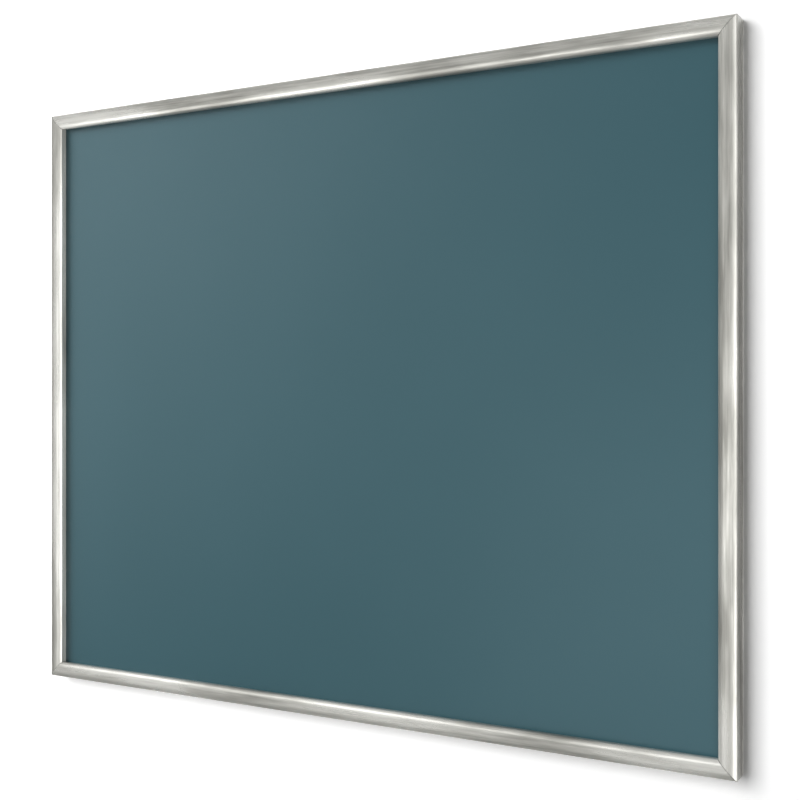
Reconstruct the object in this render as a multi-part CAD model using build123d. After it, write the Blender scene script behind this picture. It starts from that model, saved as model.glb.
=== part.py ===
from build123d import *
import os

# A framed magnetic board for a wall. A coated steel sheet, a hardboard core and a thin backing
# sheet make one laminate, which sits in the groove of four mitred, hollow frame rails. Moulded
# keys line up the mitres in the front chambers, and metal keys with screws lock them in the rear
# chambers. Two keyhole plates hang the board, and four pads hold it off the wall.
#
# X runs to the viewer's right, Y from the viewer into the wall, and Z up. The origin is midway
# between the entry holes of the two keyholes, on the rear face of their plates. Lengths are in mm.

# Overall size, measured over the frame
board_width = 762.0
board_height = 609.6

# Section of the frame rail
face_width = 15.8
rail_wall = 1.5
edge_radius = 3.0
least_inner_radius = 0.4
panel_recess = 9.3
rear_chamber_width = 6.3
flange_thickness = 1.4
flange_overlap = 4.8
rim_height = 2.0
rim_radius = 0.5
mitre_gap = 0.1

# Laminate
sheet_thickness = 0.7
core_thickness = 4.8
backing_thickness = 0.3
laminate_clearance = 0.4
laminate_corner_radius = 1.5

# Packing strips between the laminate and the frame's flange
strip_thickness = 0.9
strip_width = 4.0
strip_setback = 0.4

# Keys in the chambers, which leave this clearance on every side
key_clearance = 0.15
mitre_key_leg = 36.0
mitre_key_spine_width = 4.6
mitre_key_fin_thickness = 1.2
mitre_key_fin_count = 4
locking_key_leg = 44.0
locking_key_notch_side = 0.9
locking_key_notch_pitch = 3.0
locking_key_notch_count = 4
key_lead_in = 1.0

# Screws that hold the locking keys
key_screw_from_corner = 20.0
key_screw_radius = 1.5
key_screw_reach = 5.2
key_screw_head_radius = 2.8
key_screw_head_height = 1.7
screw_hole_clearance = 0.15
thread_clearance = 0.03
screw_head_taper_share = 0.75

# Keyhole hangers
hanger_spacing = 406.4
hanger_width = 34.0
hanger_thickness = 1.2
hanger_edge_gap = 0.6
hanger_foot_length = 11.4
hanger_ramp_length = 2.2
hanger_pad_length = 21.5
hanger_wall_gap = 0.4
hanger_bend_radius = 1.5
hanger_corner_radius = 3.0
hanger_screw_spacing = 22.0
hanger_screw_radius = 1.5
hanger_screw_reach = 4.6
hanger_screw_head_radius = 2.6
hanger_screw_head_height = 1.2
keyhole_entry_radius = 4.5
keyhole_slot_radius = 2.3
keyhole_travel = 8.8
keyhole_end_margin = 3.4

# Bumpers
bumper_side = 9.0
bumper_chamfer = 0.8
bumper_from_corner = 60.0
wall_gap = 1.0

# Overrun of every cut past the piece that it goes through
overrun = 5.0

eighth_turn = 45
quarter_turn = 90
half_turn = 180

# Depths, measured from the plane of the frame's front face
web_front = panel_recess - rail_wall
core_front = panel_recess + sheet_thickness
backing_front = core_front + core_thickness
laminate_rear = backing_front + backing_thickness
flange_front = laminate_rear + strip_thickness
flange_rear = flange_front + flange_thickness
rail_depth = flange_rear + rim_height
wall_plane = rail_depth + wall_gap
pad_rear = wall_plane - hanger_wall_gap

# Distances inwards from the outer faces of the frame
rib_outer = rail_wall + rear_chamber_width
rib_inner = rib_outer + rail_wall
laminate_edge = rib_inner + laminate_clearance
flange_inner = laminate_edge + flange_overlap
rear_chamber_middle = (rail_wall + rib_outer) / 2
flange_middle = (rail_wall + flange_inner) / 2
hanger_start = rail_wall + hanger_edge_gap
hanger_end = hanger_start + hanger_foot_length + hanger_ramp_length + hanger_pad_length
keyhole_entry = hanger_end - keyhole_end_margin - keyhole_entry_radius

# Inner radius of the front chamber, which follows the rounded edges outside
chamber_radius = max(edge_radius - rail_wall, least_inner_radius)

# Place of the origin, against the middle of the frame's front face
origin_height = board_height / 2 - keyhole_entry
origin_depth = pad_rear

# Corners of the frame: the side in X, the side in Z, and the turn about Y from the top right one
corners = {
    "top_right": (1, 1, 0),
    "bottom_right": (1, -1, quarter_turn),
    "bottom_left": (-1, -1, half_turn),
    "top_left": (-1, 1, -quarter_turn),
}
corner_diagonal = Plane(origin=(0, 0, 0), z_dir=(1, 0, -1))


def band(front, rear, outer, inner):
    """A rectangle of the rail's section, from two depths and two distances from the outer face."""
    middle = ((front + rear) / 2, -(outer + inner) / 2)
    return Pos(*middle) * Rectangle(rear - front, inner - outer)


def bar(x, z, radius, front, rear):
    """A round bar through the depth of the board."""
    return Pos(x, (front + rear) / 2, z) * Rot(quarter_turn, 0, 0) * Cylinder(radius, rear - front)


def slab(outline, front, rear):
    """An outline drawn in X and Z, given the thickness between two depths."""
    return Pos(0, rear, 0) * extrude(Plane.XZ * outline, rear - front)


def rail_section():
    """The extruded section: a box in front, a rear chamber, a groove, a flange and a rim."""
    section = band(0, panel_recess, 0, face_width)
    section += band(0, rail_depth, 0, rail_wall)
    section += band(web_front, flange_rear, rib_outer, rib_inner)
    section += band(flange_front, flange_rear, 0, flange_inner)
    section = fillet(section.vertices().group_by(Axis.X)[0], edge_radius)
    section = fillet(section.vertices().group_by(Axis.X)[-1], rim_radius)
    chamber = band(rail_wall, web_front, rail_wall, face_width - rail_wall)
    chamber = fillet(chamber.vertices().group_by(Axis.X)[0], chamber_radius)
    return section - chamber


def rail(length):
    """A mitred rail that lies along X with its outer face at Z = 0, holes for the key screws in it."""
    half = length / 2
    depth = face_width + overrun
    mitred = Polygon(
        (-half + mitre_gap / 2, 0),
        (-half + depth + mitre_gap / 2, -depth),
        (half - depth - mitre_gap / 2, -depth),
        (half - mitre_gap / 2, 0),
        align=None,
    )
    bar_stock = extrude(Plane.YZ * rail_section(), half, both=True)
    blank = bar_stock & slab(mitred, -overrun, rail_depth + overrun)
    hole_radius = key_screw_radius + screw_hole_clearance
    for side in (-1, 1):
        x = side * (half - key_screw_from_corner)
        blank -= bar(x, -rear_chamber_middle, hole_radius, laminate_rear, rail_depth)
    return blank


def hanger_screw_places():
    """X and Z of the hanger screws, from the middle of the board."""
    z = board_height / 2 - rear_chamber_middle
    for side in (-1, 1):
        for end in (-1, 1):
            yield side * hanger_spacing / 2 + end * hanger_screw_spacing / 2, z


def frame_rails():
    """The four rails in their places, the top one drilled for the hangers."""
    rails = {}
    turns = {
        "top_rail": (board_width, board_height, 0),
        "right_rail": (board_height, board_width, quarter_turn),
        "bottom_rail": (board_width, board_height, half_turn),
        "left_rail": (board_height, board_width, -quarter_turn),
    }
    for name, (length, across, turn) in turns.items():
        rails[name] = Rot(0, turn, 0) * Pos(0, 0, across / 2) * rail(length)
    hole_radius = hanger_screw_radius + screw_hole_clearance
    for x, z in hanger_screw_places():
        rails["top_rail"] -= bar(x, z, hole_radius, laminate_rear, rail_depth)
    return rails


def laminate_layer(front, thickness):
    """One layer of the laminate that the groove holds."""
    width = board_width - 2 * laminate_edge
    height = board_height - 2 * laminate_edge
    return slab(RectangleRounded(width, height, laminate_corner_radius), front, front + thickness)


def packing_strips():
    """Four foam strips between the laminate's back and the flange."""
    outer = laminate_edge + strip_setback
    across = board_width - 2 * outer
    up = board_height - 2 * outer - 2 * strip_width
    half_across = across / 2 - strip_width / 2
    half_up = board_height / 2 - outer - strip_width / 2
    strips = {}
    for name, side in (("top", 1), ("bottom", -1)):
        outline = Pos(0, side * half_up) * Rectangle(across, strip_width)
        strips["packing_strip_" + name] = slab(outline, laminate_rear, flange_front)
    for name, side in (("right", 1), ("left", -1)):
        outline = Pos(side * half_across, 0) * Rectangle(strip_width, up)
        strips["packing_strip_" + name] = slab(outline, laminate_rear, flange_front)
    return strips


def along_leg(section, near, far):
    """A section extruded along a key's leg, between two distances from the frame's corner."""
    return Pos(-far, 0, 0) * extrude(Plane.YZ * section, far - near)


def both_legs(arm):
    """A leg that lies along -X, and its mirror image along -Z."""
    return arm + mirror(arm, corner_diagonal)


def mitre_key():
    """A moulded key for the top right corner, whose spine and fins fill the front chambers."""
    outer = rail_wall + key_clearance
    inner = face_width - rail_wall - key_clearance
    front = rail_wall + key_clearance
    rear = web_front - key_clearance
    middle = (outer + inner) / 2
    fin_section = band(front, rear, outer, inner)
    fin_section = chamfer(fin_section.vertices().group_by(Axis.X)[0], chamber_radius)
    spine_half = mitre_key_spine_width / 2
    spine_section = band(front, rear, middle - spine_half, middle + spine_half)
    arm = along_leg(spine_section, inner, mitre_key_leg)
    fin_pitch = (mitre_key_leg - inner) / mitre_key_fin_count
    for fin in range(mitre_key_fin_count):
        far = mitre_key_leg - fin * fin_pitch
        arm += along_leg(fin_section, far - mitre_key_fin_thickness, far)
    block = along_leg(fin_section, outer, inner)
    block &= mirror(block, corner_diagonal)
    return block + both_legs(arm)


def key_screw_places():
    """X and Z of a corner's two key screws, from the top right corner of the frame."""
    yield -key_screw_from_corner, -rear_chamber_middle
    yield -rear_chamber_middle, -key_screw_from_corner


def locking_key():
    """A cast key for the top right corner, with notched legs, which fills the rear chambers."""
    outer = rail_wall + key_clearance
    inner = rib_outer - key_clearance
    front = panel_recess + key_clearance
    rear = flange_front - key_clearance
    arm = along_leg(band(front, rear, outer, inner), outer, locking_key_leg)
    arm = chamfer(arm.faces().sort_by(Axis.X)[0].edges(), key_lead_in)
    corner_on = Rot(0, 0, eighth_turn) * Rectangle(locking_key_notch_side, locking_key_notch_side)
    for notch in range(locking_key_notch_count):
        x = -locking_key_leg + (notch + 1) * locking_key_notch_pitch
        for z in (-outer, -inner):
            arm -= slab(Pos(x, z) * corner_on, front - overrun, rear + overrun)
    key = both_legs(arm)
    for x, z in key_screw_places():
        key -= bar(x, z, key_screw_radius + thread_clearance, front - overrun, rear + overrun)
    return key


def screw(radius, reach, head_radius, head_height):
    """A screw with a tapered head that points along -Y, the underside of its head at Y = 0."""
    crown = head_radius * screw_head_taper_share
    head = Cone(head_radius, crown, head_height, align=(Align.CENTER, Align.CENTER, Align.MIN))
    shank = Cylinder(radius, reach, align=(Align.CENTER, Align.CENTER, Align.MAX))
    return Rot(-quarter_turn, 0, 0) * (head + shank)


def hanger():
    """A keyhole plate under the frame's top edge: a foot on the flange, a raised pad and a lip."""
    foot_rear = flange_rear + hanger_thickness
    ramp_start = hanger_start + hanger_foot_length
    ramp_end = ramp_start + hanger_ramp_length
    bends = [
        (foot_rear, -hanger_start),
        (foot_rear, -ramp_start),
        (pad_rear, -ramp_end),
        (pad_rear, -hanger_end),
        (laminate_rear, -hanger_end),
    ]
    line = Plane.YZ * FilletPolyline(*bends, radius=hanger_bend_radius)
    plate = make_brake_formed(hanger_thickness, hanger_width, line, side=Side.LEFT)
    plate = Pos(-plate.center(CenterOf.BOUNDING_BOX).X, 0, 0) * plate
    foot_corners = plate.edges().filter_by(Axis.Y).group_by(Axis.Z)[-1]
    plate = fillet(foot_corners, hanger_corner_radius)
    slot_end = keyhole_entry - keyhole_travel
    keyhole = Pos(0, -keyhole_entry) * Circle(keyhole_entry_radius)
    keyhole += Pos(0, -slot_end) * Circle(keyhole_slot_radius)
    slot_middle = (keyhole_entry + slot_end) / 2
    keyhole += Pos(0, -slot_middle) * Rectangle(2 * keyhole_slot_radius, keyhole_travel)
    plate -= slab(keyhole, laminate_rear, wall_plane)
    for side in (-1, 1):
        x = side * hanger_screw_spacing / 2
        hole_radius = hanger_screw_radius + screw_hole_clearance
        plate -= bar(x, -rear_chamber_middle, hole_radius, laminate_rear, wall_plane)
    return plate


def bumper():
    """A square rubber pad with its foot on the flange and its wall face chamfered all round."""
    pad = slab(Rectangle(bumper_side, bumper_side), flange_rear, wall_plane)
    return chamfer(pad.faces().sort_by(Axis.Y)[-1].edges(), bumper_chamfer)


def corner_place(corner):
    """The place and turn that carry a piece made for the top right corner to another corner."""
    side, up, turn = corners[corner]
    return Pos(side * board_width / 2, 0, up * board_height / 2) * Rot(0, turn, 0)


def build_pieces():
    """Every piece in its place, by node name, measured from the middle of the front face."""
    pieces = frame_rails()
    pieces["magnetic_face_sheet"] = laminate_layer(panel_recess, sheet_thickness)
    pieces["core_board"] = laminate_layer(core_front, core_thickness)
    pieces["backing_sheet"] = laminate_layer(backing_front, backing_thickness)
    pieces.update(packing_strips())

    key_screw = screw(
        key_screw_radius, key_screw_reach, key_screw_head_radius, key_screw_head_height
    )
    key_screws = []
    for corner, (side, up, _) in corners.items():
        place = corner_place(corner)
        pieces["mitre_key_" + corner] = place * mitre_key()
        pieces["locking_key_" + corner] = place * locking_key()
        for x, z in key_screw_places():
            key_screws.append(place * Pos(x, flange_rear, z) * key_screw)
        pad_x = side * (board_width / 2 - bumper_from_corner)
        pad_z = up * (board_height / 2 - flange_middle)
        pieces["bumper_" + corner] = Pos(pad_x, 0, pad_z) * bumper()
    pieces["locking_key_screws"] = Compound(children=key_screws)

    for name, side in (("hanger_left", -1), ("hanger_right", 1)):
        pieces[name] = Pos(side * hanger_spacing / 2, 0, board_height / 2) * hanger()
    hanger_screw = screw(
        hanger_screw_radius,
        hanger_screw_reach,
        hanger_screw_head_radius,
        hanger_screw_head_height,
    )
    head_seat = flange_rear + hanger_thickness
    hanger_screws = [Pos(x, head_seat, z) * hanger_screw for x, z in hanger_screw_places()]
    pieces["hanger_screws"] = Compound(children=hanger_screws)
    return pieces


os.makedirs("parts", exist_ok=True)
to_origin = Pos(0, -origin_depth, -origin_height)
for node, shape in build_pieces().items():
    export_step(to_origin * shape, "parts/" + node + ".step")
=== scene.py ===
import math

import bmesh
import bpy
from mathutils import Matrix, Vector


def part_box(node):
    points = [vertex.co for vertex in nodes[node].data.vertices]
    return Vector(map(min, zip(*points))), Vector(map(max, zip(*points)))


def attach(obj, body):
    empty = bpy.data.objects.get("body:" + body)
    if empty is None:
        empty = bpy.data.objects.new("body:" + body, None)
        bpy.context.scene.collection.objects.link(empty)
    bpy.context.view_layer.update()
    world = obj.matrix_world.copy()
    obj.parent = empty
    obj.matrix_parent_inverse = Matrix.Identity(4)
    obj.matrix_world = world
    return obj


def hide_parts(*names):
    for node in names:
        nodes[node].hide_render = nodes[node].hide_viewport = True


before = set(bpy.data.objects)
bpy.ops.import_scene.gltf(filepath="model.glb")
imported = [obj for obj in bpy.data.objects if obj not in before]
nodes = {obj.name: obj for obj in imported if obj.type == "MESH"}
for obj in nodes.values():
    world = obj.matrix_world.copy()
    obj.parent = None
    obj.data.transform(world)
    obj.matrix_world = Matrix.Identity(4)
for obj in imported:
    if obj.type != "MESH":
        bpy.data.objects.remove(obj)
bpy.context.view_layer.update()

# The dressed model of a framed magnetic board that hangs on a wall. The four rails and the screws
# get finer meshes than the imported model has, the hangers and the pads get softened edges, and each
# piece gets a procedural material. X runs to the viewer's right, Y into the wall and Z up, in metres.

MM = 0.001
SIDES = ("top", "bottom", "left", "right")
CORNERS = ("top_left", "top_right", "bottom_left", "bottom_right")

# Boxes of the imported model's nodes, each as its lower and its upper corner
TOP_LO, TOP_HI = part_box("top_rail")
PAD_LO, PAD_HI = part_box("bumper_top_left")
HANGER_BOXES = (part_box("hanger_left"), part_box("hanger_right"))
KEY_SCREWS_LO, KEY_SCREWS_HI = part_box("locking_key_screws")
HANGER_SCREWS_LO, HANGER_SCREWS_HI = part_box("hanger_screws")

# Planes of the board
FRONT = TOP_LO.y
TOP = TOP_HI.z
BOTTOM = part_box("bottom_rail")[0].z
HALF_WIDTH = -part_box("left_rail")[0].x
HALF_HEIGHT = (TOP - BOTTOM) / 2
MIDDLE_Z = (TOP + BOTTOM) / 2
WALL = PAD_HI.y

# Section of the rail, as depths from the front plane and distances from the outer face
FACE_WIDTH = TOP_HI.z - TOP_LO.z
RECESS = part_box("magnetic_face_sheet")[0].y - FRONT
GROOVE_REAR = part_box("packing_strip_top")[1].y - FRONT
FLANGE_REAR = PAD_LO.y - FRONT
DEPTH = TOP_HI.y - FRONT
RIM_WIDTH = 1.5 * MM
RIB_INNER = 9.3 * MM
FLANGE_INNER = 14.5 * MM
SHOULDER_WIDTH = 6.5 * MM
SHOULDER_TILT = math.radians(36)
SHOULDER_STEPS = 14
SHOULDER_EDGE = 0.9 * MM
EDGE_STEPS = 4
RIM_RADIUS = 0.3 * MM
SMALL_RADIUS = 0.25 * MM
CORNER_STEPS = 6
MITRE_GAP = 0.1 * MM
MITRE_BEVEL = 0.22 * MM

# Screws
SCREW_LINE = 4.65 * MM
KEY_SCREW_FROM_CORNER = 20.0 * MM
KEY_SCREW_HEAD_RADIUS = 2.8 * MM
HANGER_SCREW_HEAD_RADIUS = 2.6 * MM
HANGER_SCREW_HEAD_HEIGHT = 1.2 * MM
HANGER_SCREW_OFFSET = 11.0 * MM
SHANK_RADIUS = 1.5 * MM
THREAD_PITCH = 0.55 * MM
SCREW_TIP = 0.9 * MM
BARE_SHANK = 0.5 * MM
NECK = 0.25 * MM
HEAD_EDGE = 0.12 * MM
CROSS_DEPTH_LIMIT = 1.0 * MM
ROUND_STEPS = 32
HEAD_STEPS = 6

# Forms of a screw, as shares of its shank's radius, its pitch, and its head's radius or height
THREAD_ROOT = 0.8
TIP_END = 0.28
THREAD_START, THREAD_CREST, THREAD_END = 0.3, 0.62, 0.94
HEAD_RIM = 0.3
HEAD_CROWN = 0.66
CROSS_ARM = 0.5
CROSS_HALF = 0.12
CROSS_DEPTH = 0.62
CROSS_FLOOR_ARM = 0.31
CROSS_FLOOR_HALF = 0.084

# Softened edges of CAD nodes, as a width and a number of steps
WELD_DISTANCE = 0.002 * MM
HANGER_EDGE = (0.18 * MM, 2)
PAD_EDGE = (0.6 * MM, 4)


# Node helpers
def empty_material(name):
    """A material, its node tree and its output, which has no shader yet."""
    mat = bpy.data.materials.new(name)
    mat.use_nodes = True
    tree = mat.node_tree
    tree.nodes.clear()
    return mat, tree, tree.nodes.new("ShaderNodeOutputMaterial")


def new_material(name):
    """A material, its node tree and its shader."""
    mat, tree, out = empty_material(name)
    shader = tree.nodes.new("ShaderNodeBsdfPrincipled")
    tree.links.new(shader.outputs["BSDF"], out.inputs["Surface"])
    return mat, tree, shader


def connect(tree, socket, value):
    """Sets a socket to a number, or links it to another node's output."""
    if isinstance(value, (int, float)):
        socket.default_value = value
    else:
        tree.links.new(value, socket)


def dress(tree, node, inputs):
    """Sets or links the inputs of a node, each by its name."""
    for name, value in inputs.items():
        connect(tree, node.inputs[name], value)


def math_node(tree, operation, a, b):
    """The result of an operation on two numbers or outputs."""
    node = tree.nodes.new("ShaderNodeMath")
    node.operation = operation
    connect(tree, node.inputs[0], a)
    connect(tree, node.inputs[1], b)
    return node.outputs[0]


def add_up(tree, values):
    """The sum of several outputs."""
    total = values[0]
    for value in values[1:]:
        total = math_node(tree, "ADD", total, value)
    return total


def noise(tree, place, scale, detail, rough, distortion=0.0):
    """Noise over a place, scaled by one number or by one for each axis."""
    scaled = tree.nodes.new("ShaderNodeMapping")
    scaled.inputs["Scale"].default_value = scale if isinstance(scale, tuple) else (scale, scale, scale)
    tree.links.new(place, scaled.inputs["Vector"])
    node = tree.nodes.new("ShaderNodeTexNoise")
    tree.links.new(scaled.outputs[0], node.inputs["Vector"])
    dress(tree, node, {"Scale": 1.0, "Detail": detail, "Roughness": rough, "Distortion": distortion})
    return node.outputs["Fac"]


def cells(tree, place, scale):
    """A Voronoi texture, as its node."""
    node = tree.nodes.new("ShaderNodeTexVoronoi")
    dress(tree, node, {"Vector": place, "Scale": scale})
    return node


def ramp(tree, factor, places, colours):
    """A colour ramp with one colour at each place."""
    node = tree.nodes.new("ShaderNodeValToRGB")
    elements = node.color_ramp.elements
    while len(elements) < len(places):
        elements.new(0.5)
    for element, place, colour in zip(elements, places, colours):
        element.position = place
        element.color = (*colour, 1.0)
    tree.links.new(factor, node.inputs["Fac"])
    return node.outputs["Color"]


def remap(tree, value, ends, new_ends):
    """A number taken from one range to another, and kept within it."""
    node = tree.nodes.new("ShaderNodeMapRange")
    names = ("From Min", "From Max", "To Min", "To Max")
    dress(tree, node, {"Value": value, **dict(zip(names, (*ends, *new_ends)))})
    return node.outputs[0]


def bump(tree, height, strength, distance, normal=None):
    """A normal bent by a height, on top of another normal where one is given."""
    node = tree.nodes.new("ShaderNodeBump")
    dress(tree, node, {"Strength": strength, "Distance": distance, "Height": height})
    if normal is not None:
        tree.links.new(normal, node.inputs["Normal"])
    return node.outputs[0]


def attribute(tree, name, output):
    """A value that the mesh carries."""
    node = tree.nodes.new("ShaderNodeAttribute")
    node.attribute_name = name
    return node.outputs[output]


def object_place(tree):
    """The place on the object, in metres."""
    return tree.nodes.new("ShaderNodeTexCoord").outputs["Object"]


def grey(value):
    """A colour, or a vector, with three equal parts."""
    return (value, value, value)


# Materials
METALLIC_NICKEL = 0.55
# Dark, plain and light nickel of the brushed finish; the large patches spread the colour between them,
# partly as painted reflection
NICKEL = ((0.30, 0.296, 0.270), (0.55, 0.545, 0.505), (0.80, 0.795, 0.750))
# Near black for the painted shade on the mitre bevels, where the joints lie in shade
JOINT_PAINTED_SHADE = (0.05, 0.05, 0.045, 1)
BLUE_GREEN = ((0.034, 0.096, 0.117), (0.037, 0.101, 0.123))
HARDBOARD_BROWN = ((0.13, 0.075, 0.04), (0.27, 0.17, 0.1))
ZINC = ((0.44, 0.46, 0.47), (0.51, 0.53, 0.54), (0.60, 0.62, 0.63))
HANGER_GREY = ((0.50, 0.50, 0.49), (0.66, 0.66, 0.65))
SCREW_GREY = ((0.42, 0.42, 0.41), (0.60, 0.60, 0.59))
KEY_GREY = ((0.40, 0.40, 0.41), (0.52, 0.52, 0.53))
FOAM_GREY = (grey(0.05), grey(0.16))
RUBBER_BLACK = (grey(0.018), grey(0.034))
NYLON_BLACK = (grey(0.02), grey(0.04))

# Most values of a noise lie between these two
NOISE_ENDS = (0.3, 0.7)


def brushed_metal():
    """Brushed nickel with painted reflection patches and painted shade in the mitre joints. The lines run
    along each rail, by the mesh's own grain attribute.
    """
    mat, tree, shader = new_material("brushed_nickel")
    grain = attribute(tree, "grain", "Vector")
    fine = noise(tree, grain, (60, 4200, 13), 3, 0.6)
    lines = noise(tree, grain, (12, 640, 29), 3, 0.6)
    bands = noise(tree, grain, (24, 190, 53), 2, 0.5)
    # Large patches: random tone that also stands in for patchy reflections of the brushed metal, so
    # partly painted reflection
    tone_and_sheen_patches = noise(tree, grain, (7, 34, 41), 1, 0.4)
    shares = ((fine, 0.11), (lines, 0.25), (bands, 0.24), (tone_and_sheen_patches, 0.62))
    rest = 0.5 * (1 - sum(share for layer, share in shares))
    shade = add_up(tree, [math_node(tree, "MULTIPLY", layer, share) for layer, share in shares])
    shade = math_node(tree, "ADD", shade, rest)
    colour = ramp(tree, shade, (0.36, 0.5, 0.64), NICKEL)
    # Painted shade in the joints: the mitre bevels darken to near black towards the mitre plane
    darker = tree.nodes.new("ShaderNodeMix")
    darker.data_type = "RGBA"
    tree.links.new(attribute(tree, "joint", "Fac"), darker.inputs["Factor"])
    tree.links.new(colour, darker.inputs["A"])
    darker.inputs["B"].default_value = JOINT_PAINTED_SHADE
    coarse = bump(tree, lines, 0.25, 0.06 * MM)
    dress(tree, shader, {
        "Base Color": darker.outputs["Result"],
        "Metallic": METALLIC_NICKEL,
        "Roughness": remap(tree, shade, (0.40, 0.60), (0.34, 0.26)),
        "Normal": bump(tree, fine, 0.35, 0.03 * MM, coarse),
    })
    return mat


def enamel():
    """Satin blue-green enamel on steel, with a faint orange peel."""
    mat, tree, shader = new_material("satin_enamel")
    place = object_place(tree)
    cloud = noise(tree, place, 5, 2, 0.5)
    peel = noise(tree, place, 420, 2, 0.5)
    speck = noise(tree, place, 2600, 1, 0.5)
    peel_bump = bump(tree, peel, 0.12, 0.05 * MM)
    dress(tree, shader, {
        "Base Color": ramp(tree, cloud, NOISE_ENDS, BLUE_GREEN),
        "Roughness": remap(tree, peel, NOISE_ENDS, (0.36, 0.42)),
        "Specular IOR Level": 0.35,
        "Normal": bump(tree, speck, 0.1, 0.01 * MM, peel_bump),
    })
    return mat


def hardboard():
    """Pressed brown fibres."""
    mat, tree, shader = new_material("pressed_hardboard")
    fibres = noise(tree, object_place(tree), (500, 900, 500), 4, 0.6, 0.6)
    dress(tree, shader, {
        "Base Color": ramp(tree, fibres, NOISE_ENDS, HARDBOARD_BROWN),
        "Roughness": 0.75,
        "Normal": bump(tree, fibres, 0.4, 0.1 * MM),
    })
    return mat


def galvanised():
    """Zinc-coated steel: flat crystals of slightly different greys."""
    mat, tree, shader = new_material("galvanised_steel")
    place = object_place(tree)
    moved = tree.nodes.new("ShaderNodeVectorMath")
    moved.operation = "MULTIPLY_ADD"
    tree.links.new(noise(tree, place, 60, 2, 0.5), moved.inputs[0])
    moved.inputs[1].default_value = grey(8 * MM)
    tree.links.new(place, moved.inputs[2])
    split = tree.nodes.new("ShaderNodeSeparateColor")
    tree.links.new(cells(tree, moved.outputs[0], 130).outputs["Color"], split.inputs[0])
    soft = noise(tree, place, 260, 2, 0.5)
    dress(tree, shader, {
        "Base Color": ramp(tree, split.outputs[0], (0.0, 0.5, 1.0), ZINC),
        "Metallic": 0.9,
        "Roughness": remap(tree, split.outputs[1], (0.0, 1.0), (0.36, 0.55)),
        "Normal": bump(tree, soft, 0.12, 0.1 * MM),
    })
    return mat


def bare_metal(name, colours, roughness, scale):
    """Plated steel or cast metal, with faint handling marks."""
    mat, tree, shader = new_material(name)
    marks = noise(tree, object_place(tree), scale, 3, 0.6)
    dress(tree, shader, {
        "Base Color": ramp(tree, marks, NOISE_ENDS, colours),
        "Metallic": 1.0,
        "Roughness": remap(tree, marks, NOISE_ENDS, (roughness + 0.07, roughness - 0.05)),
        "Normal": bump(tree, marks, 0.15, 0.04 * MM),
    })
    return mat


def foam():
    """Dark foam with small closed cells."""
    mat, tree, shader = new_material("grey_foam")
    distance = cells(tree, object_place(tree), 1800).outputs["Distance"]
    dress(tree, shader, {
        "Base Color": ramp(tree, distance, (0.1, 0.7), FOAM_GREY),
        "Roughness": 0.9,
        "Normal": bump(tree, distance, 0.5, 0.2 * MM),
    })
    return mat


def rubber():
    """Black moulded rubber."""
    mat, tree, shader = new_material("black_rubber")
    mottle = noise(tree, object_place(tree), 1500, 3, 0.6)
    dress(tree, shader, {
        "Base Color": ramp(tree, mottle, NOISE_ENDS, RUBBER_BLACK),
        "Roughness": remap(tree, mottle, NOISE_ENDS, (0.55, 0.7)),
        "Normal": bump(tree, mottle, 0.2, 0.06 * MM),
    })
    return mat


def nylon():
    """Black moulded nylon."""
    mat, tree, shader = new_material("black_nylon")
    texture = noise(tree, object_place(tree), 900, 2, 0.5)
    dress(tree, shader, {
        "Base Color": ramp(tree, texture, NOISE_ENDS, NYLON_BLACK),
        "Roughness": 0.5,
        "Normal": bump(tree, texture, 0.2, 0.05 * MM),
    })
    return mat


METAL = brushed_metal()
ENAMEL = enamel()
HARDBOARD = hardboard()
GALVANISED = galvanised()
HANGER_STEEL = bare_metal("plated_hanger_steel", HANGER_GREY, 0.3, (300, 300, 60))
SCREW_STEEL = bare_metal("plated_screw_steel", SCREW_GREY, 0.28, 900)
KEY_METAL = bare_metal("cast_key_metal", KEY_GREY, 0.5, 700)
FOAM = foam()
RUBBER = rubber()
NYLON = nylon()


# Mesh helpers
SMOOTH_ANGLE = math.radians(32)


def mesh_object(name, mesh, material):
    """Links a mesh to the scene as an object of one material."""
    obj = bpy.data.objects.new(name, mesh)
    bpy.context.scene.collection.objects.link(obj)
    mesh.materials.append(material)
    return obj


def finish_piece(name, bm, material, slot, *replaced):
    """A mesh object that rides on the root body and stands for the CAD nodes named."""
    bmesh.ops.recalc_face_normals(bm, faces=bm.faces)
    mesh = bpy.data.meshes.new(name)
    bm.to_mesh(mesh)
    bm.free()
    obj = mesh_object(name, mesh, material)
    for polygon in mesh.polygons:
        polygon.use_smooth = True
    mesh.set_sharp_from_angle(angle=SMOOTH_ANGLE)
    weighted = obj.modifiers.new("even_normals", "WEIGHTED_NORMAL")
    weighted.keep_sharp = True
    weighted.weight = 80
    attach(obj, "root")
    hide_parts(*replaced)
    return obj


def skin(bm, rings):
    """Faces between closed rings of vertices, from each ring to the next."""
    count = len(rings[0])
    for first, second in zip(rings, rings[1:]):
        for i in range(count):
            j = (i + 1) % count
            bm.faces.new((first[i], first[j], second[j], second[i]))


def rounded_outline(corners):
    """A closed outline of straight runs and arcs. Each corner is (a, b, radius)."""
    points = []
    count = len(corners)
    for i, (a, b, radius) in enumerate(corners):
        here = Vector((a, b))
        if radius <= 0:
            points.append(here)
            continue
        before = (Vector(corners[i - 1][:2]) - here).normalized()
        after = (Vector(corners[(i + 1) % count][:2]) - here).normalized()
        half_angle = before.angle(after) / 2
        reach = radius / math.tan(half_angle)
        centre = here + (before + after).normalized() * (radius / math.sin(half_angle))
        start = here + before * reach - centre
        end = here + after * reach - centre
        turn = math.atan2(start.cross(end), start.dot(end))
        for k in range(CORNER_STEPS + 1):
            spin = Matrix.Rotation(turn * k / CORNER_STEPS, 2)
            points.append(centre + spin @ start)
    return points


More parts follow.
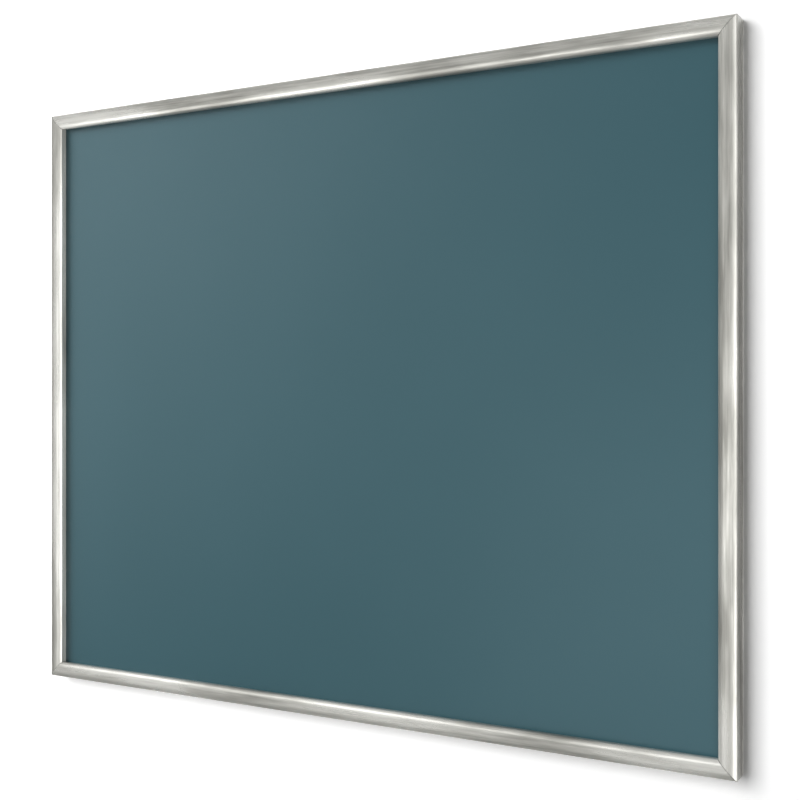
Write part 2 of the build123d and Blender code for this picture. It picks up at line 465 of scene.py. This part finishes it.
def inset_outline(points, distance):
    """The outline moved towards its inside by a small distance, corner for corner."""
    area = sum(p.cross(q) for p, q in zip(points, points[1:] + points[:1]))
    side = 1 if area > 0 else -1
    moved = []
    count = len(points)
    for i, here in enumerate(points):
        first = (here - points[i - 1]).normalized()
        second = (points[(i + 1) % count] - here).normalized()
        first_normal = Vector((-first.y, first.x)) * side
        second_normal = Vector((-second.y, second.x)) * side
        shared = (first_normal + second_normal) / (1 + first_normal.dot(second_normal))
        moved.append(here + shared * distance)
    return moved


# Rails
def shoulder():
    """Points of a soft edge of the face, each as its depth and its distance from the rail's side.

    A wide arc leaves the flat face and ends in a small rounding at the side.
    """
    radius = (SHOULDER_WIDTH - SHOULDER_EDGE) / math.sin(SHOULDER_TILT)
    points = []
    for i in range(SHOULDER_STEPS + 1):
        turn = SHOULDER_TILT * i / SHOULDER_STEPS
        points.append((radius * (1 - math.cos(turn)), SHOULDER_WIDTH - radius * math.sin(turn)))
    start_depth = points[-1][0]
    radius = SHOULDER_EDGE / (1 - math.sin(SHOULDER_TILT))
    for i in range(1, EDGE_STEPS + 1):
        turn = SHOULDER_TILT + (math.pi / 2 - SHOULDER_TILT) * i / EDGE_STEPS
        depth = start_depth + radius * (math.cos(SHOULDER_TILT) - math.cos(turn))
        from_side = SHOULDER_EDGE - radius * (math.sin(turn) - math.sin(SHOULDER_TILT))
        points.append((depth, from_side))
    return points


def rail_outline():
    """The rail's outer section, as (depth, distance inwards).

    The first and last of the corners are rounded as if the section ran straight from one to the
    other. So the rail's two sides lean towards each other as they go back, the outer one by 0.9 mm
    and the inner one by 0.7 mm.
    """
    corners = [
        (RECESS, FACE_WIDTH, SMALL_RADIUS),
        (RECESS, RIB_INNER, 0),
        (GROOVE_REAR, RIB_INNER, 0),
        (GROOVE_REAR, FLANGE_INNER, SMALL_RADIUS),
        (FLANGE_REAR, FLANGE_INNER, SMALL_RADIUS),
        (FLANGE_REAR, RIM_WIDTH, SMALL_RADIUS),
        (DEPTH, RIM_WIDTH, RIM_RADIUS),
        (DEPTH, 0, RIM_RADIUS),
    ]
    outer = [Vector((depth, from_side)) for depth, from_side in reversed(shoulder())]
    inner = [Vector((depth, FACE_WIDTH - from_side)) for depth, from_side in shoulder()]
    return outer + inner + rounded_outline(corners)


def build_rail(name, node, middle, along, inwards, half, seed):
    """A mitred rail with bevelled mitre edges, an attribute for the brushed finish and one that marks the
    mitre bevels for the painted shade in the joints.
    """
    outline = rail_outline()
    small = inset_outline(outline, MITRE_BEVEL)
    lengths = [0.0]
    for p, q in zip(outline, outline[1:]):
        lengths.append(lengths[-1] + (q - p).length)
    bm = bmesh.new()
    grain = bm.verts.layers.float_vector.new("grain")
    # Marks the mitre bevels, 1 at the mitre plane, for the painted shade in the joints
    joint = bm.verts.layers.float.new("joint")
    ends = (
        (-1, small, 0.0),
        (-1, outline, MITRE_BEVEL),
        (1, outline, MITRE_BEVEL),
        (1, small, 0.0),
    )
    rings = []
    for sign, points, back in ends:
        ring = []
        for (depth, inward), around in zip(points, lengths):
            reach = sign * (half - inward - MITRE_GAP / 2 - back)
            vert = bm.verts.new(middle + along * reach + inwards * inward + Vector((0, depth, 0)))
            vert[grain] = Vector((reach, around, seed))
            vert[joint] = 1.0 if points is small else 0.0
            ring.append(vert)
        rings.append(ring)
    skin(bm, rings)
    bm.faces.new(rings[0])
    bm.faces.new(list(reversed(rings[-1])))
    return finish_piece(name, bm, METAL, "frame_metal", node)


# Each rail: its name, its node, the middle of its outer front edge, the ways along it and inwards,
# half its length, and a number that gives it its own grain
TO_RIGHT = Vector((1, 0, 0))
UP = Vector((0, 0, 1))
TOP_MIDDLE = Vector((0, FRONT, TOP))
RIGHT_MIDDLE = Vector((HALF_WIDTH, FRONT, MIDDLE_Z))
BOTTOM_MIDDLE = Vector((0, FRONT, BOTTOM))
LEFT_MIDDLE = Vector((-HALF_WIDTH, FRONT, MIDDLE_Z))
RAILS = (
    ("rail_top", "top_rail", TOP_MIDDLE, TO_RIGHT, -UP, HALF_WIDTH, 1.0),
    ("rail_right", "right_rail", RIGHT_MIDDLE, -UP, -TO_RIGHT, HALF_HEIGHT, 2.0),
    ("rail_bottom", "bottom_rail", BOTTOM_MIDDLE, -TO_RIGHT, UP, HALF_WIDTH, 3.0),
    ("rail_left", "left_rail", LEFT_MIDDLE, UP, TO_RIGHT, HALF_HEIGHT, 4.0),
)
for row in RAILS:
    build_rail(*row)


# Screw meshes
def circle(radius, y):
    """Points of a circle about the Y axis."""
    turns = [2 * math.pi * i / ROUND_STEPS for i in range(ROUND_STEPS)]
    return [Vector((radius * math.cos(t), y, radius * math.sin(t))) for t in turns]


def cross(reach, half, y):
    """The twelve corners of a cross, anticlockwise from the first corner of the arm along +X."""
    points = []
    for quarter in range(4):
        turn = Matrix.Rotation(-math.pi / 2 * quarter, 3, "Y")
        for x, z in ((reach, -half), (reach, half), (half, half)):
            points.append(turn @ Vector((x, y, z)))
    return points


def stitch(bm, outer, inner):
    """Triangles between two closed loops of vertices that both go round the same point."""
    centre = sum((v.co for v in outer), Vector()) / len(outer)

    def angle(vert):
        return math.atan2(vert.co.z - centre.z, vert.co.x - centre.x) % (2 * math.pi)

    first = sorted(outer, key=angle)
    second = sorted(inner, key=angle)
    first_angles = [angle(vert) for vert in first] + [angle(first[0]) + 2 * math.pi]
    second_angles = [angle(vert) for vert in second] + [angle(second[0]) + 2 * math.pi]
    i = 0
    j = 0
    while i < len(first) or j < len(second):
        a = first[i % len(first)]
        b = second[j % len(second)]
        second_done = j == len(second)
        if second_done or (i < len(first) and first_angles[i + 1] <= second_angles[j + 1]):
            bm.faces.new((a, first[(i + 1) % len(first)], b))
            i += 1
        else:
            bm.faces.new((a, second[(j + 1) % len(second)], b))
            j += 1


def screw_profile(head_radius, head_height, reach):
    """Radius and height of each ring of a screw, from its tip to the top of its head."""
    root = SHANK_RADIUS * THREAD_ROOT
    y = -reach + SCREW_TIP
    profile = [(SHANK_RADIUS * TIP_END, -reach), (root, y)]
    while y + THREAD_PITCH < -BARE_SHANK:
        profile.append((root, y + THREAD_PITCH * THREAD_START))
        profile.append((SHANK_RADIUS, y + THREAD_PITCH * THREAD_CREST))
        profile.append((root, y + THREAD_PITCH * THREAD_END))
        y += THREAD_PITCH
    profile += [(root, -NECK), (SHANK_RADIUS, 0)]
    profile += [(head_radius - HEAD_EDGE, 0), (head_radius, HEAD_EDGE)]
    rim = HEAD_RIM * head_height
    crown = HEAD_CROWN * head_radius
    for step in range(HEAD_STEPS + 1):
        bend = math.pi / 2 * step / HEAD_STEPS
        radius = crown + (head_radius - crown) * math.cos(bend)
        profile.append((radius, rim + (head_height - rim) * math.sin(bend)))
    return profile


def add_screw(bm, place, turn, head_radius, head_height, reach):
    """A pan-head screw with a cross recess. Its head points along +Y from the place."""
    spin = Matrix.Translation(place) @ Matrix.Rotation(turn, 4, "Y")

    def ring_of(points):
        return [bm.verts.new(spin @ point) for point in points]

    profile = screw_profile(head_radius, head_height, reach)
    rings = [ring_of(circle(radius, y)) for radius, y in profile]
    bm.faces.new(rings[0])
    skin(bm, rings)
    mouth = ring_of(cross(CROSS_ARM * head_radius, CROSS_HALF * head_radius, head_height))
    floor_y = head_height - min(CROSS_DEPTH * head_height, CROSS_DEPTH_LIMIT)
    floor_arm = CROSS_FLOOR_ARM * head_radius
    recess_floor = ring_of(cross(floor_arm, CROSS_FLOOR_HALF * head_radius, floor_y))
    stitch(bm, rings[-1], mouth)
    skin(bm, (mouth, recess_floor))
    bm.faces.new(recess_floor)


def corner_screws():
    """Two screws at each corner of the frame, for the locking keys. Each is turned differently."""
    bm = bmesh.new()
    flange_y = FRONT + FLANGE_REAR
    head_height = KEY_SCREWS_HI.y - flange_y
    reach = flange_y - KEY_SCREWS_LO.y
    offsets = ((KEY_SCREW_FROM_CORNER, SCREW_LINE), (SCREW_LINE, KEY_SCREW_FROM_CORNER))
    for i, (side, up) in enumerate(((-1, 1), (1, 1), (1, -1), (-1, -1))):
        for k, (from_side, from_edge) in enumerate(offsets):
            x = side * (HALF_WIDTH - from_side)
            z = MIDDLE_Z + up * (HALF_HEIGHT - from_edge)
            turn = 0.5 + 1.3 * i + 0.7 * k
            add_screw(bm, Vector((x, flange_y, z)), turn, KEY_SCREW_HEAD_RADIUS, head_height, reach)
    finish_piece("corner_screws", bm, SCREW_STEEL, "screw_steel", "locking_key_screws")


def keyhole_plate_screws():
    """Two screws at each hanger. Each is turned differently."""
    bm = bmesh.new()
    head_height = HANGER_SCREW_HEAD_HEIGHT
    seat_y = HANGER_SCREWS_HI.y - head_height
    reach = seat_y - HANGER_SCREWS_LO.y
    for i, (lo, hi) in enumerate(HANGER_BOXES):
        for k, end in enumerate((-1, 1)):
            x = (lo.x + hi.x) / 2 + end * HANGER_SCREW_OFFSET
            place = Vector((x, seat_y, TOP - SCREW_LINE))
            turn = 0.3 + 1.1 * i + 0.9 * k
            add_screw(bm, place, turn, HANGER_SCREW_HEAD_RADIUS, head_height, reach)
    finish_piece("keyhole_plate_screws", bm, SCREW_STEEL, "screw_steel", "hanger_screws")


corner_screws()
keyhole_plate_screws()


# CAD nodes that stay
def paint(node, material):
    """Gives a CAD node its material."""
    mesh = nodes[node].data
    mesh.materials.clear()
    mesh.materials.append(material)


def soften(node, width, segments):
    """Rounds the sharp edges of a CAD node with modifiers; its own mesh stays as it is."""
    obj = nodes[node]
    weld = obj.modifiers.new("weld", "WELD")
    weld.merge_threshold = WELD_DISTANCE
    bevel = obj.modifiers.new("bevel", "BEVEL")
    bevel.width = width
    bevel.segments = segments
    bevel.limit_method = "ANGLE"
    bevel.angle_limit = math.radians(35)
    bevel.harden_normals = True


paint("magnetic_face_sheet", ENAMEL)
paint("core_board", HARDBOARD)
paint("backing_sheet", GALVANISED)
for side in SIDES:
    paint("packing_strip_" + side, FOAM)
for corner in CORNERS:
    paint("mitre_key_" + corner, NYLON)
    paint("locking_key_" + corner, KEY_METAL)
    paint("bumper_" + corner, RUBBER)
    soften("bumper_" + corner, *PAD_EDGE)
for side in ("left", "right"):
    paint("hanger_" + side, HANGER_STEEL)
    soften("hanger_" + side, *HANGER_EDGE)


# Stage
WALL_COLOUR = 0.95
WALL_SHOWN = 1.42
WALL_HALF = 1.1
WALL_TOP = 1.3
WALL_FOOT = -1.35
HOLE_INSET = 2.5 * MM


def wall_material():
    """A matt white wall that only shows from the room's side; camera and gloss see it whiter."""
    mat, tree, out = empty_material("white_wall")
    path = tree.nodes.new("ShaderNodeLightPath")
    seen = math_node(tree, "MAXIMUM", path.outputs["Is Camera Ray"], path.outputs["Is Glossy Ray"])
    seen = math_node(tree, "MAXIMUM", seen, path.outputs["Is Transmission Ray"])
    matt = tree.nodes.new("ShaderNodeBsdfDiffuse")
    tree.links.new(remap(tree, seen, (0, 1), (WALL_COLOUR, WALL_SHOWN)), matt.inputs["Color"])
    clear = tree.nodes.new("ShaderNodeBsdfTransparent")
    geometry = tree.nodes.new("ShaderNodeNewGeometry")
    mix = tree.nodes.new("ShaderNodeMixShader")
    tree.links.new(geometry.outputs["Backfacing"], mix.inputs[0])
    tree.links.new(matt.outputs[0], mix.inputs[1])
    tree.links.new(clear.outputs[0], mix.inputs[2])
    tree.links.new(mix.outputs[0], out.inputs["Surface"])
    return mat


def wall_rectangle(half_width, foot, top):
    """The corners of an upright rectangle in the wall's plane."""
    outline = ((-half_width, foot), (half_width, foot), (half_width, top), (-half_width, top))
    return [(x, WALL, z) for x, z in outline]


def build_wall():
    """The wall behind the board, with a hole that the board's rim covers."""
    around = wall_rectangle(WALL_HALF, WALL_FOOT, WALL_TOP)
    hole = wall_rectangle(HALF_WIDTH - HOLE_INSET, BOTTOM + HOLE_INSET, TOP - HOLE_INSET)
    faces = [(i, (i + 1) % 4, 4 + (i + 1) % 4, 4 + i) for i in range(4)]
    mesh = bpy.data.meshes.new("wall")
    mesh.from_pydata(around + hole, [], faces)
    obj = mesh_object("wall", mesh, wall_material())


build_wall()


# Lamps
def area_light(name, place, aim, size, power):
    """A rectangular lamp at a place, turned to its aim."""
    light = bpy.data.lights.new(name, "AREA")
    light.shape = "RECTANGLE"
    light.size, light.size_y = size
    light.energy = power
    obj = bpy.data.objects.new(name, light)
    bpy.context.scene.collection.objects.link(obj)
    obj.location = place
    obj.rotation_euler = (Vector(aim) - Vector(place)).to_track_quat("-Z", "Y").to_euler()
    obj.visible_camera = False
    return obj


def light_only(lamp, piece, state="INCLUDE"):
    """Limits a lamp to one piece, or keeps it off that piece."""
    group = bpy.data.collections.new("lit_by_" + lamp.name)
    group.objects.link(bpy.data.objects[piece])
    lamp.light_linking.receiver_collection = group
    for member in group.collection_objects:
        member.light_linking.link_state = state


SHEET = "magnetic_face_sheet"
BOARD_MIDDLE = Vector((0, FRONT, MIDDLE_Z))
LAMP_DISTANCE = 3.0

# Soft lamps of the room: slope to the left, slope up, the light each gives the board, where 1 renders
# a colour as it is written, its size, and which pieces it lights
SOFT_LAMPS = (
    (0.40, 0.22, 0.690, 2.6, "all but the sheet"),
    (1.30, 0.90, 0.130, 1.9, "all"),
    (0.38, 0.90, 0.120, 1.9, "all but the sheet"),
    (0.60, 0.60, 0.155, 1.9, "sheet"),
    (1.10, 0.85, 0.250, 1.9, "sheet"),
    (2.10, 1.10, 0.290, 1.9, "sheet"),
)

# Lamps that light one piece each: the lamp's name, the piece, whether the lamp lights it as a matt
# surface or shows in its gloss, the lamp's power and size, its place and what it is turned to
PIECE_LAMPS = (
    ("under_top", "rail_top", "gloss", 3.7, (1.2, 0.3), (-0.38, -0.83, -0.385), (0.15, -0.02, 0.03)),
    ("low_top", "rail_top", "matt", 8, (1.0, 0.3), (-0.70, -0.33, -0.90), (-0.30, -0.015, 0.0135)),
    ("over_bottom", "rail_bottom", "gloss", 2, (1.2, 0.3), (-0.46, -0.83, -0.166), (0.09, -0.02, -0.58)),
    ("high_bottom", "rail_bottom", "matt", 5, (0.8, 0.3), (-0.90, -0.33, 0.30), (-0.40, -0.015, -0.5645)),
    ("beside_left", "rail_left", "matt", 21, (0.4, 0.9), (1.20, -0.30, -0.35), (-0.38, -0.02, -0.2755)),
    ("front_left", "rail_left", "gloss", 1, (0.3, 1.2), (-0.73, -1.06, -0.35), (-0.38, -0.02, -0.2755)),
    ("front_right", "rail_right", "gloss", 1.3, (0.8, 0.3), (0.20, -0.86, -0.46), (0.373, -0.02, -0.35)),
    ("beside_right", "rail_right", "matt", 12, (0.4, 0.9), (-1.20, -0.55, -0.45), (0.37, -0.02, -0.35)),
    ("sheet_left", SHEET, "gloss", 5.7, (1.2, 1.4), (-1.80, -1.20, -0.10), (-0.25, -0.01, -0.15)),
    ("sheet_right", SHEET, "gloss", 3.2, (0.8, 0.9), (0.00, -1.20, -0.62), (0.35, -0.01, -0.40)),
    ("sheet_low", SHEET, "matt", 2.4, (0.5, 0.6), (0.85, -0.60, -0.55), (0.36, -0.01, -0.42)),
)

for number, (to_left, up, level, size, lit) in enumerate(SOFT_LAMPS):
    direction = Vector((-to_left, -1, up)).normalized()
    power = level * math.pi ** 2 * LAMP_DISTANCE ** 2 / -direction.y
    place = BOARD_MIDDLE + direction * LAMP_DISTANCE
    lamp = area_light("soft_%d" % number, place, BOARD_MIDDLE, (size, size), power)
    lamp.visible_glossy = False
    if lit == "sheet":
        light_only(lamp, SHEET)
    elif lit == "all but the sheet":
        light_only(lamp, SHEET, "EXCLUDE")

for name, piece, manner, power, size, place, aim in PIECE_LAMPS:
    lamp = area_light(name, place, aim, size, power)
    lamp.visible_diffuse = manner == "matt"
    lamp.visible_glossy = manner == "gloss"
    light_only(lamp, piece)

# A lamp for the board's rear, behind the wall
area_light("back", (-0.5, 1.9, 0.9), (0, 0, MIDDLE_Z), (1.4, 1.2), 25)

# The studio around the board. Glows are soft bright areas that the gloss shows: the way to each, its
# sharpness and its strength. Other light is even, with more of it from below and from behind.
AMBIENT = 0.040
LIGHT_FROM_BELOW = 0.46
LIGHT_BEHIND = 0.55
GLOWS = (
    ((-0.4, -1, -1.4), 6, 0.55),
    ((0.2, -1, 0), 12, 0.96),
    ((-1, -0.3, 0), 10, 0.06),
    ((-0.5, -1, 1.3), 6, 0.5),
    ((-0.3, -1, -0.4), 30, 0.28),
    ((-0.7, -1, 0), 30, 0.58),
    ((-0.7, -1, -0.4), 30, 0.28),
    ((-1.2, -1, 0), 30, 0.08),
    ((-1.2, -1, 0.6), 30, 0.06),
    ((1, -0.75, -0.2), 9, 4.4),
    ((1, -0.12, -0.3), 8, 0.9),
    ((0, 1, 0.2), 1, 0.9),
)


def glow(tree, direction, towards, sharpness, strength):
    """The light of one glow, as seen in a direction."""
    dot = tree.nodes.new("ShaderNodeVectorMath")
    dot.operation = "DOT_PRODUCT"
    tree.links.new(direction, dot.inputs[0])
    dot.inputs[1].default_value = Vector(towards).normalized()
    level = math_node(tree, "MAXIMUM", dot.outputs["Value"], 0.0)
    return math_node(tree, "MULTIPLY", math_node(tree, "POWER", level, sharpness), strength)


def one_sided(tree, component, strength):
    """Light that grows with one component of the direction, and is none on its other side."""
    return math_node(tree, "MAXIMUM", math_node(tree, "MULTIPLY", component, strength), 0.0)


def choose(tree, factor, a, b):
    """The first number where the factor is 0 and the second where it is 1."""
    node = tree.nodes.new("ShaderNodeMix")
    node.data_type = "FLOAT"
    dress(tree, node, {"Factor": factor, "A": a, "B": b})
    return node.outputs["Result"]


def build_world():
    """White to the camera; glows for reflections seen from it; even light for all other rays."""
    world = bpy.data.worlds.new("studio")
    bpy.context.scene.world = world
    world.use_nodes = True
    world.cycles.sampling_method = "NONE"
    tree = world.node_tree
    tree.nodes.clear()
    out = tree.nodes.new("ShaderNodeOutputWorld")
    direction = tree.nodes.new("ShaderNodeTexCoord").outputs["Generated"]
    parts = tree.nodes.new("ShaderNodeSeparateXYZ")
    tree.links.new(direction, parts.inputs[0])
    below = one_sided(tree, parts.outputs["Z"], -LIGHT_FROM_BELOW)
    behind = one_sided(tree, parts.outputs["Y"], LIGHT_BEHIND)
    even = math_node(tree, "ADD", math_node(tree, "ADD", below, behind), AMBIENT)
    glows = add_up(tree, [glow(tree, direction, *row) for row in GLOWS])
    path = tree.nodes.new("ShaderNodeLightPath")
    direct = math_node(tree, "LESS_THAN", path.outputs["Diffuse Depth"], 0.5)
    glossy = math_node(tree, "MULTIPLY", path.outputs["Is Glossy Ray"], direct)
    shown = math_node(tree, "MAXIMUM", path.outputs["Is Camera Ray"], path.outputs["Is Transmission Ray"])
    strength = choose(tree, shown, choose(tree, glossy, even, glows), 1.0)
    background = tree.nodes.new("ShaderNodeBackground")
    background.inputs["Color"].default_value = (1, 1, 1, 1)
    tree.links.new(strength, background.inputs["Strength"])
    tree.links.new(background.outputs[0], out.inputs["Surface"])


build_world()

# Camera, as fitted to the perspective of the photograph
CAMERA_PLACE = (0.71537, -1.06477, -0.26974)
CAMERA_TURN = math.radians(31.7854)
CAMERA_LENS = 60.541
CAMERA_SHIFT = -0.011977

camera_data = bpy.data.cameras.new("camera")
camera_data.sensor_width = 36
camera_data.lens = CAMERA_LENS
camera_data.shift_y = CAMERA_SHIFT
camera_data.clip_start = 0.01
camera = bpy.data.objects.new("camera", camera_data)
bpy.context.scene.collection.objects.link(camera)
camera.location = CAMERA_PLACE
camera.rotation_euler = (math.radians(90), 0, CAMERA_TURN)
bpy.context.scene.camera = camera

bpy.context.scene.view_settings.view_transform = "Standard"
